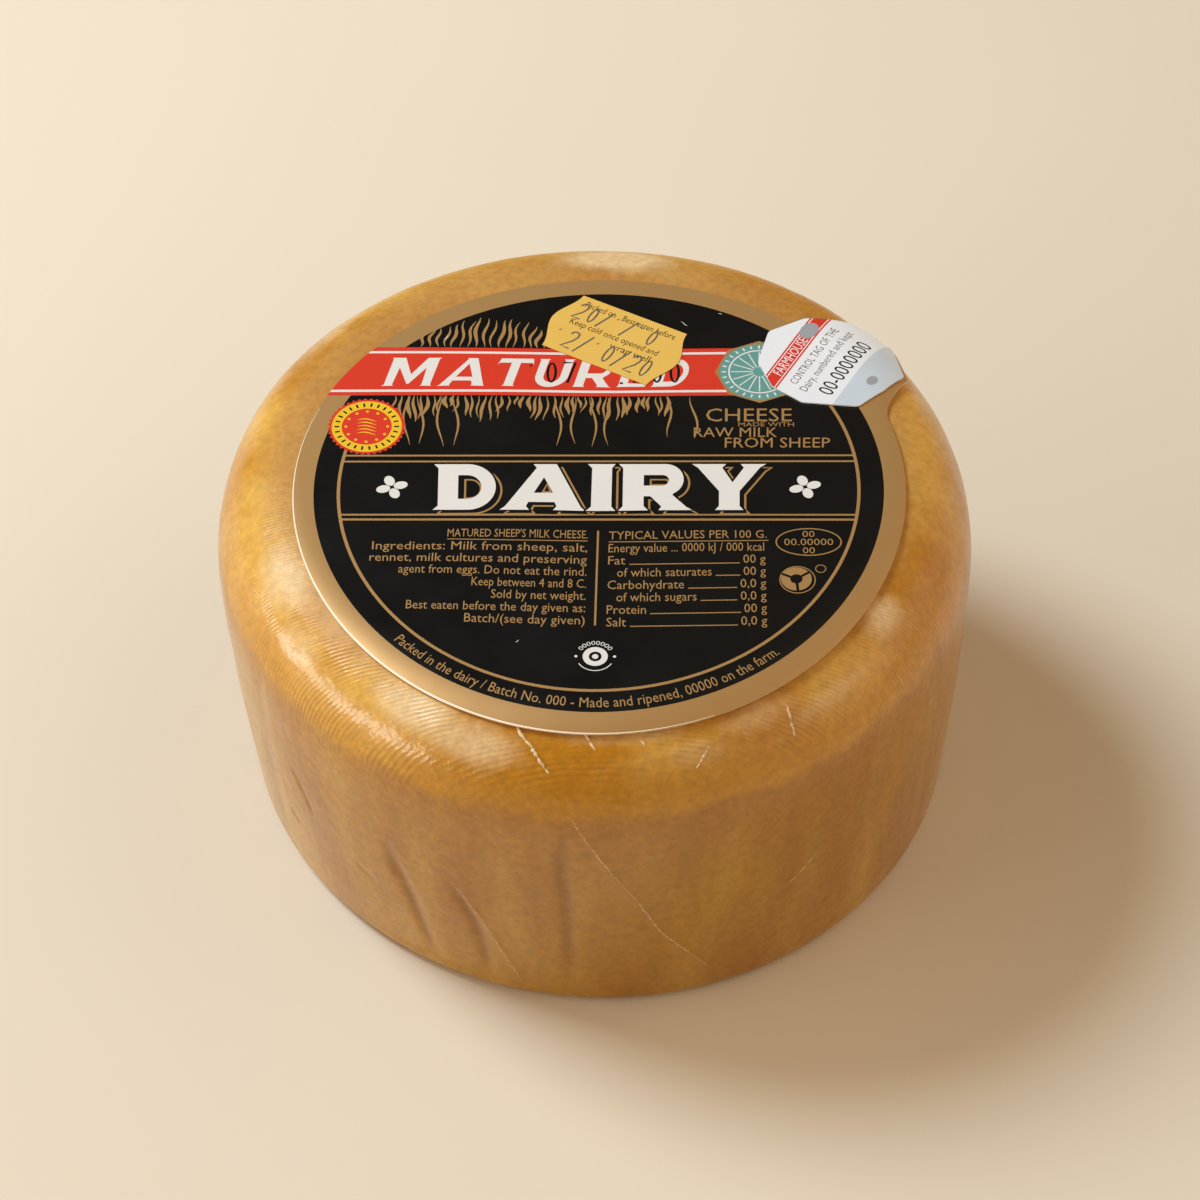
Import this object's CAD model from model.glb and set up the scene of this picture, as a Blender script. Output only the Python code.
import math
import random

import bpy
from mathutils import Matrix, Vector
from mathutils.geometry import delaunay_2d_cdt


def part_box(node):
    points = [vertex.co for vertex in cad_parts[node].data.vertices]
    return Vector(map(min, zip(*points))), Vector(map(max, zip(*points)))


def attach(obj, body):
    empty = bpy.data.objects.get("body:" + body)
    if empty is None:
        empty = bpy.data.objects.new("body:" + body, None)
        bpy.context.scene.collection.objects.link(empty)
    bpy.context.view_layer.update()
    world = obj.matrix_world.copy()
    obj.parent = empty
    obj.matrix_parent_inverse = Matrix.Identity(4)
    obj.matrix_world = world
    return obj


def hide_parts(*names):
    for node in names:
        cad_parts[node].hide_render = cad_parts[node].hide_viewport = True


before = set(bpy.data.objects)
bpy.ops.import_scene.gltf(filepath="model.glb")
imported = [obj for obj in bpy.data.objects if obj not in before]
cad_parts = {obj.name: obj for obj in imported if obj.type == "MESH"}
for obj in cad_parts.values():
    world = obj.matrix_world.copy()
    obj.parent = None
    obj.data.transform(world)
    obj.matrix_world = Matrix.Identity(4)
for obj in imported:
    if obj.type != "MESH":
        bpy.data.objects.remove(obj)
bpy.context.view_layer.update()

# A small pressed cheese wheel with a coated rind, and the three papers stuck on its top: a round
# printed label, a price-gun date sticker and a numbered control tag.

MM = 0.001

# ---------------------------------------------------------------- the wheel's own sizes, in mm
# They repeat the part's driving sizes, so that the looks follow the same rule as the solids.

WHEEL_RADIUS = 70.0
WHEEL_HEIGHT = 70.0
WIDEST_HEIGHT = 49.7
SHOULDER_WIDTH = 17.7
SHOULDER_FULLNESS = 2.34
SHOULDER_DROP = WHEEL_HEIGHT - WIDEST_HEIGHT
FLAT_TOP = WHEEL_RADIUS - SHOULDER_WIDTH
FOOT_INSET = 2.9
SIDE_BEND = 1.6
FOOT_ROUNDING = 3.0
LEAN_X = -1.4
LEAN_Y = -0.58
TILT_X = 0.025
TILT_Y = 0.03
OVAL_COSINE = -0.004
OVAL_SINE = -0.006
THREE_LOBE_SINE = 0.01

LABEL_RADIUS = 55.6
LABEL_X = 1.05
LABEL_Y = -5.2
LABEL_TURN = math.radians(-1.4)
LOBE_MARGIN = 0.8
STICKER_LENGTH = 27.0
STICKER_WIDTH = 15.5
STICKER_WAVE = 2.3
STICKER_REACH = 39.0
STICKER_BEARING = math.radians(85.4)
STICKER_TURN = math.radians(-30.0)
TAG_LENGTH = 26.6
TAG_WIDTH = 23.9
TAG_CORNERS = ((1, -0.2), (0.86, 0.62), (0.35, 1), (-0.31, 0.98), (-0.83, 0.7),
               (-1, 0.03), (-0.82, -0.53), (-0.41, -0.89), (0.36, -1), (0.71, -0.65))
TAG_ROUNDING = 1.6
TAG_REACH = WHEEL_RADIUS - 4.6 - LOBE_MARGIN - TAG_LENGTH / 2
TAG_BEARING = math.radians(31.0)
TAG_PRINT_TURN = math.radians(60.0)
LABEL_THICKNESS = 0.24
STICKER_THICKNESS = 0.12
TAG_THICKNESS = 0.25


def polar(reach, bearing):
    return reach * math.cos(bearing), reach * math.sin(bearing)


TAG_X, TAG_Y = polar(TAG_REACH, TAG_BEARING)
STICKER_X = LABEL_X + polar(STICKER_REACH, STICKER_BEARING)[0]
STICKER_Y = LABEL_Y + polar(STICKER_REACH, STICKER_BEARING)[1]


def settle(x, y, z):
    """Moves a point of the true turned wheel to its place on the real one, which is a little out of round."""
    bearing = math.atan2(y, x)
    swell = (1 + OVAL_COSINE * math.cos(2 * bearing) + OVAL_SINE * math.sin(2 * bearing)
             + THREE_LOBE_SINE * math.sin(3 * bearing))
    rise = z / WHEEL_HEIGHT
    x = x * swell + LEAN_X * rise
    y = y * swell + LEAN_Y * rise
    return x, y, z + (TILT_X * x + TILT_Y * y) * rise * rise


def side_radius(z):
    share = (WIDEST_HEIGHT - z) / (WIDEST_HEIGHT - FOOT_ROUNDING)
    return WHEEL_RADIUS - FOOT_INSET * max(share, 0) ** SIDE_BEND


def wheel_profile():
    """Half the wheel's cut face, from the middle of the top out, down the side and in under the foot."""
    points = []
    for step in range(9):
        points.append((FLAT_TOP * step / 9, WHEEL_HEIGHT))
    power = 2 / SHOULDER_FULLNESS
    shoulder = 60
    for step in range(shoulder):
        turn = math.pi / 2 * (1 - step / shoulder)
        points.append((FLAT_TOP + SHOULDER_WIDTH * math.cos(turn) ** power,
                       WIDEST_HEIGHT + SHOULDER_DROP * math.sin(turn) ** power))
    side = 58
    for step in range(side + 1):
        z = WIDEST_HEIGHT + (FOOT_ROUNDING - WIDEST_HEIGHT) * step / side
        points.append((side_radius(z), z))
    rim = side_radius(FOOT_ROUNDING) - FOOT_ROUNDING
    for step in range(1, 7):
        turn = math.pi / 2 * step / 6
        points.append((rim + FOOT_ROUNDING * math.cos(turn), FOOT_ROUNDING * (1 - math.sin(turn))))
    for step in range(1, 5):
        points.append((rim * (1 - step / 4), 0.0))
    return points


PROFILE = wheel_profile()


def profile_lengths():
    """How far along the rind each profile point is from the middle of the top."""
    lengths = [0.0]
    for before, after in zip(PROFILE, PROFILE[1:]):
        lengths.append(lengths[-1] + math.dist(before, after))
    return lengths


LENGTHS = profile_lengths()


def on_rind(bearing, length):
    """The point of the true turned wheel at a bearing in degrees and a length along the rind in mm."""
    step = 1
    while step < len(LENGTHS) - 1 and LENGTHS[step] < length:
        step += 1
    share = (length - LENGTHS[step - 1]) / (LENGTHS[step] - LENGTHS[step - 1])
    radius = PROFILE[step - 1][0] + share * (PROFILE[step][0] - PROFILE[step - 1][0])
    height = PROFILE[step - 1][1] + share * (PROFILE[step][1] - PROFILE[step - 1][1])
    x, y = polar(radius, math.radians(bearing))
    return x, y, height


def wheel_middle():
    """The middle of the settled wheel's outline, which the part puts on the origin."""
    xs = []
    ys = []
    for radius, height in PROFILE:
        for step in range(360):
            x, y = polar(radius, math.radians(step))
            x, y, z = settle(x, y, height)
            xs.append(x)
            ys.append(y)
    return (min(xs) + max(xs)) / 2, (min(ys) + max(ys)) / 2


low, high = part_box("cheese_wheel")
MIDDLE = wheel_middle()
SHIFT_X = (low.x + high.x) / 2 - MIDDLE[0] * MM
SHIFT_Y = (low.y + high.y) / 2 - MIDDLE[1] * MM


def place(point):
    """A point of the true turned wheel, in mm, to its place in the row frame, in metres."""
    x, y, z = settle(*point)
    return Vector((x * MM + SHIFT_X, y * MM + SHIFT_Y, z * MM))


def over_top(x, y, clearance):
    """The point that stands clear of the wheel's top by that much, above or outside of x, y."""
    radius = math.hypot(x, y)
    out = max(radius - FLAT_TOP, 0) / SHOULDER_WIDTH
    if out == 0:
        return place((x, y, WHEEL_HEIGHT + clearance))
    level = 1 - out ** SHOULDER_FULLNESS
    height = WIDEST_HEIGHT + SHOULDER_DROP * level ** (1 / SHOULDER_FULLNESS)
    fall = (SHOULDER_DROP / SHOULDER_WIDTH * out ** (SHOULDER_FULLNESS - 1)
            * level ** (1 / SHOULDER_FULLNESS - 1))
    reach = clearance / math.hypot(fall, 1)
    stretch = 1 + fall * reach / radius
    return place((x * stretch, y * stretch, height + reach))


# ---------------------------------------------------------------- nodes and materials


def linear(code):
    """An sRGB hex colour as the linear colour that a shader takes."""
    values = []
    for place_in_code in (0, 2, 4):
        value = int(code[place_in_code:place_in_code + 2], 16) / 255
        values.append(value / 12.92 if value <= 0.04045 else ((value + 0.055) / 1.055) ** 2.4)
    return (*values, 1.0)


def add(tree, kind, feeds=None, **settings):
    """Adds a node with its settings. feeds gives each input a value, or a node or output to link."""
    node = tree.nodes.new(kind)
    for name, value in settings.items():
        setattr(node, name, value)
    for socket, value in (feeds or {}).items():
        if isinstance(value, bpy.types.Node):
            value = value.outputs[0]
        if isinstance(value, bpy.types.NodeSocket):
            tree.links.new(value, node.inputs[socket])
        else:
            node.inputs[socket].default_value = value
    return node


def new_material(name):
    material = bpy.data.materials.new(name)
    material.use_nodes = True
    tree = material.node_tree
    tree.nodes.clear()
    return material, tree


def finish_material(tree, feeds):
    """Ends a material with one Principled shader."""
    shader = add(tree, "ShaderNodeBsdfPrincipled", feeds)
    add(tree, "ShaderNodeOutputMaterial", {"Surface": shader})
    return shader


def coated_rind():
    """Coated pressed rind: pale paste under a thin brown wax-like coat, printed by the pressing cloth.

    The eye gets honey gold and cream on the shoulder, an ochre band under it, browner sides, a soft
    gloss, and the fine ribs of the cloth.
    """
    material, tree = new_material("coated_cheese_rind")
    spot = add(tree, "ShaderNodeTexCoord").outputs["Object"]
    length = add(tree, "ShaderNodeAttribute", attribute_name="length").outputs["Fac"]
    pale = add(tree, "ShaderNodeAttribute", attribute_name="pale").outputs["Fac"]
    crease = add(tree, "ShaderNodeAttribute", attribute_name="crease").outputs["Fac"]

    # Clouds in the coat about 25 mm, 8 mm and 1.5 mm across, and the streaks where it ran down the side.
    drawn_down = add(tree, "ShaderNodeMapping", {"Vector": spot, "Scale": (1.0, 1.0, 0.22)})
    clouds, patches, flecks, streaks = (
        add(tree, "ShaderNodeTexNoise",
            {"Vector": along, "Scale": scale, "Detail": detail, "Roughness": roughness})
        for along, scale, detail, roughness in ((spot, 34.0, 3.0, 0.5), (spot, 120.0, 4.0, 0.6),
                                                (spot, 650.0, 3.0, 0.6), (drawn_down, 75.0, 3.0, 0.55)))
    wander = add(tree, "ShaderNodeMath", {0: patches, 1: 7.0, 2: length}, operation="MULTIPLY_ADD")
    ragged_pale = add(tree, "ShaderNodeMath", {0: patches, 1: 0.9, 2: pale}, operation="MULTIPLY_ADD")

    # Where each thing starts and ends, mostly in mm along the rind, and how strong it is at both.
    # The shoulder's ochre ends at a fairly crisp line, and near the label the coat was handled until
    # it went dull.
    share = {}
    for name, source, start, end, before, after, curve in (
            ("near_label", length, 55.0, 64.0, 0.6, 0.0, "SMOOTHSTEP"),
            ("band", wander, 68.0, 78.0, 0.0, 0.75, "SMOOTHSTEP"),
            ("side", wander, 78.6, 82.4, 0.0, 1.0, "SMOOTHSTEP"),
            ("rosy", wander, 82.0, 102.0, 0.5, 0.0, "LINEAR"),
            ("pale", ragged_pale, 0.58, 1.35, 0.0, 0.85, "LINEAR"),
            ("fleck", flecks, 0.3, 0.7, 0.86, 1.12, "LINEAR"),
            ("side_ribs", length, 76.0, 86.0, 0.0, 1.0, "LINEAR"),
            ("kept_ribs", patches, 0.38, 0.60, 0.15, 1.0, "LINEAR"),
            ("clear_ribs", length, 57.0, 65.0, 0.25, 1.0, "SMOOTHSTEP"),
            ("rough", patches, 0.3, 0.7, 0.34, 0.48, "LINEAR"),
            ("dulled", length, 60.0, 67.0, 0.22, 0.0, "SMOOTHSTEP"),
            ("coat", wander, 63.0, 71.0, 0.12, 0.8, "SMOOTHSTEP")):
        share[name] = add(tree, "ShaderNodeMapRange",
                          {"Value": source, "From Min": start, "From Max": end, "To Min": before,
                           "To Max": after}, interpolation_type=curve)

    tones = []
    for noise, stops in ((clouds, ((0.42, "bb7d12"), (0.60, "d3a044"))),
                         (streaks, ((0.34, "a06c1f"), (0.66, "b58830")))):
        tone = add(tree, "ShaderNodeValToRGB", {"Fac": noise})
        for stop, (position, code) in zip(tone.color_ramp.elements, stops):
            stop.position = position
            stop.color = linear(code)
        tones.append(tone.outputs["Color"])
    colour, side = tones
    warm_side = add(tree, "ShaderNodeMix", {"Factor": share["rosy"], "A": side, "B": linear("ad742b")},
                    data_type="RGBA")
    for factor, over in ((share["near_label"], linear("b5864e")), (share["band"], linear("bc8315")),
                         (share["side"], warm_side.outputs["Result"]), (share["pale"], linear("e6c694")),
                         (crease, linear("8a5a24"))):
        colour = add(tree, "ShaderNodeMix", {"Factor": factor, "A": colour, "B": over},
                     data_type="RGBA").outputs["Result"]
    toned = add(tree, "ShaderNodeVectorMath", {0: colour, "Scale": share["fleck"]}, operation="SCALE")

    # The pressing cloth left ribs 0.7 mm apart: across the top and shoulder, and round the side.
    across, around = (
        add(tree, "ShaderNodeTexWave",
            {"Vector": spot, "Scale": 455.0, "Distortion": distortion, "Detail": 2.0, "Detail Scale": 0.25},
            wave_type="BANDS", bands_direction=direction)
        for distortion, direction in ((3.0, "Y"), (2.0, "Z")))
    ribs = add(tree, "ShaderNodeMix", {"Factor": share["side_ribs"], "A": across.outputs["Fac"],
                                       "B": around.outputs["Fac"]}, data_type="FLOAT")
    worn = add(tree, "ShaderNodeMapRange",
               {"Value": share["side_ribs"], "To Min": share["clear_ribs"], "To Max": 0.25})
    ribs_left = add(tree, "ShaderNodeMath", {0: share["kept_ribs"], 1: worn}, operation="MULTIPLY")
    rib_height = add(tree, "ShaderNodeMath", {0: ribs, 1: ribs_left}, operation="MULTIPLY")
    grit = add(tree, "ShaderNodeTexNoise", {"Vector": spot, "Scale": 1300.0, "Detail": 2.0})
    rib_bump = add(tree, "ShaderNodeBump", {"Strength": 0.9, "Distance": 0.00007, "Height": rib_height})
    grit_bump = add(tree, "ShaderNodeBump",
                    {"Strength": 0.5, "Distance": 0.00007, "Height": grit, "Normal": rib_bump})
    lump_bump = add(tree, "ShaderNodeBump",
                    {"Strength": 0.5, "Distance": 0.0007, "Height": patches, "Normal": grit_bump})
    roughness = add(tree, "ShaderNodeMath", {0: share["rough"], 1: share["dulled"]}, operation="ADD")
    finish_material(tree, {"Base Color": toned, "Roughness": roughness, "Specular IOR Level": 0.18,
                           "Normal": lump_bump, "Coat Weight": share["coat"], "Coat Roughness": 0.19,
                           "Coat Normal": lump_bump})
    return material


def dry_wrinkle():
    """Thin wrinkles of coat that lifted and dried: paler and rougher than the rind, so they catch light."""
    material, tree = new_material("dried_coat_wrinkle")
    coords = add(tree, "ShaderNodeTexCoord")
    broken = add(tree, "ShaderNodeTexNoise", {"Vector": coords.outputs["Object"], "Scale": 1200.0})
    colour = add(tree, "ShaderNodeMix", {"Factor": broken, "A": linear("d2a869"), "B": linear("f6e4c4")},
                 data_type="RGBA")
    finish_material(tree, {"Base Color": colour.outputs["Result"], "Roughness": 0.45})
    return material


def printed_ink(name, code, shade, roughness=0.35, metallic=0.0, grain=0.04):
    """Ink on a varnished paper. The two colours drift into each other, as an uneven ink film does, and
    the paper under it is not quite flat, which breaks up its gloss."""
    material, tree = new_material(name)
    coords = add(tree, "ShaderNodeTexCoord")
    spot = coords.outputs["Object"]
    film = add(tree, "ShaderNodeTexNoise", {"Vector": spot, "Scale": 90.0, "Detail": 4.0})
    colour = add(tree, "ShaderNodeMix", {"Factor": film, "A": linear(code), "B": linear(shade)},
                 data_type="RGBA")
    swell = add(tree, "ShaderNodeTexNoise", {"Vector": spot, "Scale": 42.0, "Detail": 2.0})
    fibre = add(tree, "ShaderNodeTexNoise", {"Vector": spot, "Scale": 2200.0, "Detail": 2.0})
    swell_bump = add(tree, "ShaderNodeBump", {"Strength": 0.3, "Distance": 0.0008, "Height": swell})
    fibre_bump = add(tree, "ShaderNodeBump",
                     {"Strength": grain, "Distance": 0.0001, "Height": fibre, "Normal": swell_bump})
    patchy = add(tree, "ShaderNodeMapRange",
                 {"Value": film, "To Min": roughness - 0.06, "To Max": roughness + 0.08})
    finish_material(tree, {"Base Color": colour.outputs["Result"], "Roughness": patchy,
                           "Metallic": metallic, "Normal": fibre_bump})
    return material


# ---------------------------------------------------------------- the wheel


def new_object(name, data):
    """An object at the origin, unturned and unscaled: a piece has its place in its mesh."""
    item = bpy.data.objects.new(name, data)
    bpy.context.scene.collection.objects.link(item)
    return item


def wire(name, paths, numbers):
    """A wire mesh of open paths. numbers gives each point's values, under their names."""
    points = []
    edges = []
    for path in paths:
        start = len(points)
        points.extend(path)
        edges.extend((start + step, start + step + 1) for step in range(len(path) - 1))
    mesh = bpy.data.meshes.new(name)
    mesh.from_pydata([Vector(point) * MM for point in points], edges, [])
    for number, values in numbers.items():
        mesh.attributes.new(number, "FLOAT", "POINT").data.foreach_set("value", values)
    return new_object(name, mesh)


def smooth_path(stops, step=0.8):
    """A smooth run of (bearing, length) places through the stops, about one step in mm apart."""
    path = []
    for index in range(len(stops) - 1):
        before = stops[max(index - 1, 0)]
        start = stops[index]
        end = stops[index + 1]
        after = stops[min(index + 2, len(stops) - 1)]
        reach = math.dist(on_rind(*start), on_rind(*end))
        count = max(int(reach / step), 2)
        for turn in range(count + (index == len(stops) - 2)):
            share = turn / count
            path.append(tuple(
                0.5 * (2 * b + (c - a) * share + (2 * a - 5 * b + 4 * c - d) * share ** 2
                       + (3 * b - a - 3 * c + d) * share ** 3)
                for a, b, c, d in zip(before, start, end, after)))
    return path


# Folds that the cloth pressed into the rind: stops as (bearing in degrees, mm along the rind), then
# how deep and how wide they are. A negative depth stands proud.
FOLDS = [
    ([(-93.4, 76), (-94.7, 89), (-94.3, 101), (-94.4, 121), (-94.6, 130)], 0.5, 1.3),
    ([(-93.0, 76.8), (-89.3, 87.3), (-83.6, 102), (-80.9, 110), (-77.4, 116.8), (-73.4, 124.4),
      (-69, 128)], -0.22, 0.5),
    ([(-112.6, 99), (-109.8, 108), (-108, 116.6), (-107.2, 130)], 0.5, 1.2),
    ([(-111.8, 101.5), (-109.1, 106.6), (-106, 114.8), (-102.1, 128)], -0.22, 0.5),
    ([(-122.5, 95), (-122.2, 102), (-120.9, 106.3), (-119.3, 112.3), (-118.5, 116.6), (-116.5, 130)],
     0.55, 1.3),
    ([(-144.6, 97.8), (-142, 102.6), (-139.6, 108.3)], 0.34, 0.6),
    ([(-148.3, 115.5), (-145.4, 117.2)], 0.30, 0.5),
    ([(-130.4, 111.7), (-125.9, 114)], 0.30, 0.5),
    ([(-86, 67.3), (-81.2, 66.2), (-77.8, 65.8), (-70.9, 64.9), (-67.2, 64.3), (-62.7, 64.6)], -0.14, 0.8),
    ([(-60.3, 107.2), (-55.5, 102.1)], -0.12, 0.6),
    ([(-53.8, 105.1), (-48, 110.8)], -0.12, 0.6),
    ([(-56, 65.6), (-49.5, 66.8), (-42.6, 68.3)], -0.16, 1.2),
    ([(-150, 70), (-152, 95), (-153, 128)], 0.16, 2.5),
    ([(-40, 78), (-42, 100), (-41, 130)], 0.16, 3.0),
    ([(-24, 84), (-27, 104), (-26, 130)], 0.14, 1.6),
    ([(20, 80), (24, 104), (22, 130)], 0.25, 1.8),
    ([(62, 84), (58, 100), (61, 130)], 0.30, 1.4),
    ([(63, 86), (70, 102), (80, 122)], -0.14, 0.5),
    ([(118, 90), (121, 110), (119, 130)], 0.32, 1.4),
    ([(165, 82), (160, 104), (163, 130)], 0.25, 1.6),
]

# Wrinkles of dried coat that lie on the rind: stops, then how thick they are.
WRINKLES = [
    ([(-72.2, 65.8), (-73.5, 67.4), (-74.6, 68.9)], 0.30),
    ([(-58.2, 63.5), (-58.6, 66.6), (-58.9, 69.8)], 0.26),
    ([(-102.6, 59.2), (-101.4, 61.6), (-99.5, 63.5), (-98, 65.6), (-96.4, 68)], 0.42),
    ([(-91.5, 59.6), (-90.4, 61.8), (-89.4, 63.6)], 0.28),
    ([(-93.0, 77), (-91.2, 82.2), (-89.3, 87.3), (-86.4, 95)], 0.11),
    ([(-86.4, 95), (-83.6, 102), (-80.9, 110), (-77.4, 116.8), (-73.4, 124.4)], 0.09),
    ([(-111.8, 101.5), (-109.1, 106.6), (-106, 114.8), (-102.1, 128)], 0.09),
    ([(-82.4, 62.4), (-81.8, 63.4)], 0.18),
    ([(-60.3, 107.2), (-55.5, 102.1)], 0.09),
]


def folds_wire():
    paths = []
    presses = []
    spreads = []
    for stops, press, spread in FOLDS:
        places = smooth_path(stops)
        paths.append([on_rind(*stop) for stop in places])
        for step in range(len(places)):
            share = step / (len(places) - 1)
            fade = min(1, share * 4, (1 - share) * 4)
            presses.append(press * MM * fade)
            spreads.append(spread * MM)
    return wire("fold_lines", paths, {"press": presses, "spread": spreads})


def wrinkles_wire():
    rng = random.Random(7)
    paths = []
    thicks = []
    for stops, thick in WRINKLES:
        places = smooth_path(stops, 0.35)
        paths.append([on_rind(bearing + rng.uniform(-0.12, 0.12), length) for bearing, length in places])
        for step in range(len(places)):
            share = step / (len(places) - 1)
            swell = 0.35 + 0.65 * math.sin(math.pi * share)
            thicks.append(thick * MM * swell * rng.choice((0.15, 0.6, 0.9, 1.1)))
    return wire("wrinkle_lines", paths, {"thick": thicks})


def turned(tree, profile, segments):
    """The profile turned into a closed wheel: a flat grid, with one column for each profile point, is
    wrapped round the axis. It keeps each point's length along the rind."""
    points = add(tree, "GeometryNodeAttributeDomainSize", {"Geometry": profile}).outputs["Point Count"]
    columns = add(tree, "ShaderNodeMath", {0: segments, 1: 1.0}, operation="ADD")
    grid = add(tree, "GeometryNodeMeshGrid", {"Vertices X": columns, "Vertices Y": points})
    index = add(tree, "GeometryNodeInputIndex")
    ring_point = add(tree, "ShaderNodeMath", {0: index, 1: points}, operation="MODULO")
    part_turn = add(tree, "ShaderNodeMath", {0: index, 1: points}, operation="DIVIDE")
    segment = add(tree, "ShaderNodeMath", {0: part_turn}, operation="FLOOR")
    turn = add(tree, "ShaderNodeMath", {0: segment, 1: segments}, operation="DIVIDE")
    bearing = add(tree, "ShaderNodeMath", {0: turn, 1: 2 * math.pi}, operation="MULTIPLY")
    where = add(tree, "GeometryNodeInputPosition")
    length = add(tree, "GeometryNodeInputNamedAttribute", {"Name": "length"}, data_type="FLOAT")
    cut, length_here = (
        add(tree, "GeometryNodeSampleIndex", {"Geometry": profile, "Value": value, "Index": ring_point},
            data_type=kind)
        for value, kind in ((where, "FLOAT_VECTOR"), (length, "FLOAT")))
    cut_at = add(tree, "ShaderNodeSeparateXYZ", {0: cut}).outputs
    cosine = add(tree, "ShaderNodeMath", {0: bearing}, operation="COSINE")
    sine = add(tree, "ShaderNodeMath", {0: bearing}, operation="SINE")
    x = add(tree, "ShaderNodeMath", {0: cut_at["X"], 1: cosine}, operation="MULTIPLY")
    y = add(tree, "ShaderNodeMath", {0: cut_at["X"], 1: sine}, operation="MULTIPLY")
    wrapped = add(tree, "ShaderNodeCombineXYZ", {"X": x, "Y": y, "Z": cut_at["Z"]})
    marked = add(tree, "GeometryNodeStoreNamedAttribute",
                 {"Geometry": grid, "Name": "length", "Value": length_here},
                 data_type="FLOAT", domain="POINT")
    round_grid = add(tree, "GeometryNodeSetPosition", {"Geometry": marked, "Position": wrapped})
    outwards = add(tree, "GeometryNodeFlipFaces", {"Mesh": round_grid})
    return add(tree, "GeometryNodeMergeByDistance", {"Geometry": outwards, "Distance": 0.000001})


def pressed(tree, wheel, fold_lines, unevenness, lump_size, seed):
    """The wheel with each fold pressed in along the surface's own facing, deepest on its line. The rest of
    the rind is slightly lumpy, but not under the label or the foot."""
    folds = add(tree, "GeometryNodeObjectInfo", {"Object": fold_lines}).outputs["Geometry"]
    near = add(tree, "GeometryNodeProximity", {"Geometry": folds}, target_element="EDGES")
    nearest = add(tree, "GeometryNodeSampleNearest", {"Geometry": folds}, domain="POINT")
    here = {}
    for name in ("press", "spread"):
        value = add(tree, "GeometryNodeInputNamedAttribute", {"Name": name}, data_type="FLOAT")
        here[name] = add(tree, "GeometryNodeSampleIndex",
                         {"Geometry": folds, "Value": value, "Index": nearest}, data_type="FLOAT")
    off_line = add(tree, "ShaderNodeMath", {0: near.outputs["Distance"], 1: here["spread"]},
                   operation="DIVIDE")
    squared = add(tree, "ShaderNodeMath", {0: off_line, 1: off_line}, operation="MULTIPLY")
    falling = add(tree, "ShaderNodeMath", {0: squared, 1: -1.0}, operation="MULTIPLY")
    closeness = add(tree, "ShaderNodeMath", {0: falling}, operation="EXPONENT")
    fold = add(tree, "ShaderNodeMath", {0: closeness, 1: here["press"]}, operation="MULTIPLY")

    lumpy = add(tree, "ShaderNodeMath", {0: 1.0, 1: lump_size}, operation="DIVIDE")
    noise = add(tree, "ShaderNodeTexNoise", {"W": seed, "Scale": lumpy, "Detail": 2.0},
                noise_dimensions="4D")
    sunk = add(tree, "ShaderNodeMath", {0: 1.0, 1: noise}, operation="SUBTRACT")
    sinking = add(tree, "ShaderNodeMath", {0: sunk, 1: unevenness}, operation="MULTIPLY")
    length = add(tree, "GeometryNodeInputNamedAttribute", {"Name": "length"}, data_type="FLOAT")
    off_top = add(tree, "ShaderNodeMapRange", {"Value": length, "From Min": 52.0, "From Max": 60.0},
                  interpolation_type="SMOOTHSTEP")
    where = add(tree, "GeometryNodeInputPosition")
    height = add(tree, "ShaderNodeSeparateXYZ", {0: where}).outputs["Z"]
    off_foot = add(tree, "ShaderNodeMapRange", {"Value": height, "From Min": 0.0, "From Max": 0.004},
                   interpolation_type="SMOOTHSTEP")
    sinking_off_top = add(tree, "ShaderNodeMath", {0: sinking, 1: off_top}, operation="MULTIPLY")
    both = add(tree, "ShaderNodeMath", {0: sinking_off_top, 1: fold}, operation="ADD")
    drop = add(tree, "ShaderNodeMath", {0: both, 1: off_foot}, operation="MULTIPLY")
    inwards = add(tree, "ShaderNodeMath", {0: drop, 1: -1.0}, operation="MULTIPLY")
    facing = add(tree, "GeometryNodeInputNormal")
    offset = add(tree, "ShaderNodeVectorMath", {0: facing, "Scale": inwards}, operation="SCALE")
    deepest = add(tree, "ShaderNodeMapRange",
                  {"Value": fold, "From Min": 0.00006, "From Max": 0.00040, "To Max": 0.5})
    creased = add(tree, "GeometryNodeStoreNamedAttribute",
                  {"Geometry": wheel, "Name": "crease", "Value": deepest}, data_type="FLOAT", domain="POINT")
    return add(tree, "GeometryNodeSetPosition", {"Geometry": creased, "Offset": offset})


def wrinkled(tree, wheel, wrinkle_lines):
    """The wrinkles: thin round ribs along their lines, half sunk in the pressed wheel."""
    lines = add(tree, "GeometryNodeObjectInfo", {"Object": wrinkle_lines}).outputs["Geometry"]
    where = add(tree, "GeometryNodeInputPosition")
    on_wheel = add(tree, "GeometryNodeSampleNearestSurface", {"Mesh": wheel, "Value": where},
                   data_type="FLOAT_VECTOR")
    laid = add(tree, "GeometryNodeSetPosition", {"Geometry": lines, "Position": on_wheel})
    curves = add(tree, "GeometryNodeMeshToCurve", {"Mesh": laid})
    thick = add(tree, "GeometryNodeInputNamedAttribute", {"Name": "thick"}, data_type="FLOAT")
    section = add(tree, "GeometryNodeCurvePrimitiveCircle", {"Resolution": 8, "Radius": 1.0})
    return add(tree, "GeometryNodeCurveToMesh",
               {"Curve": curves, "Profile Curve": section, "Scale": thick, "Fill Caps": True})


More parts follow.
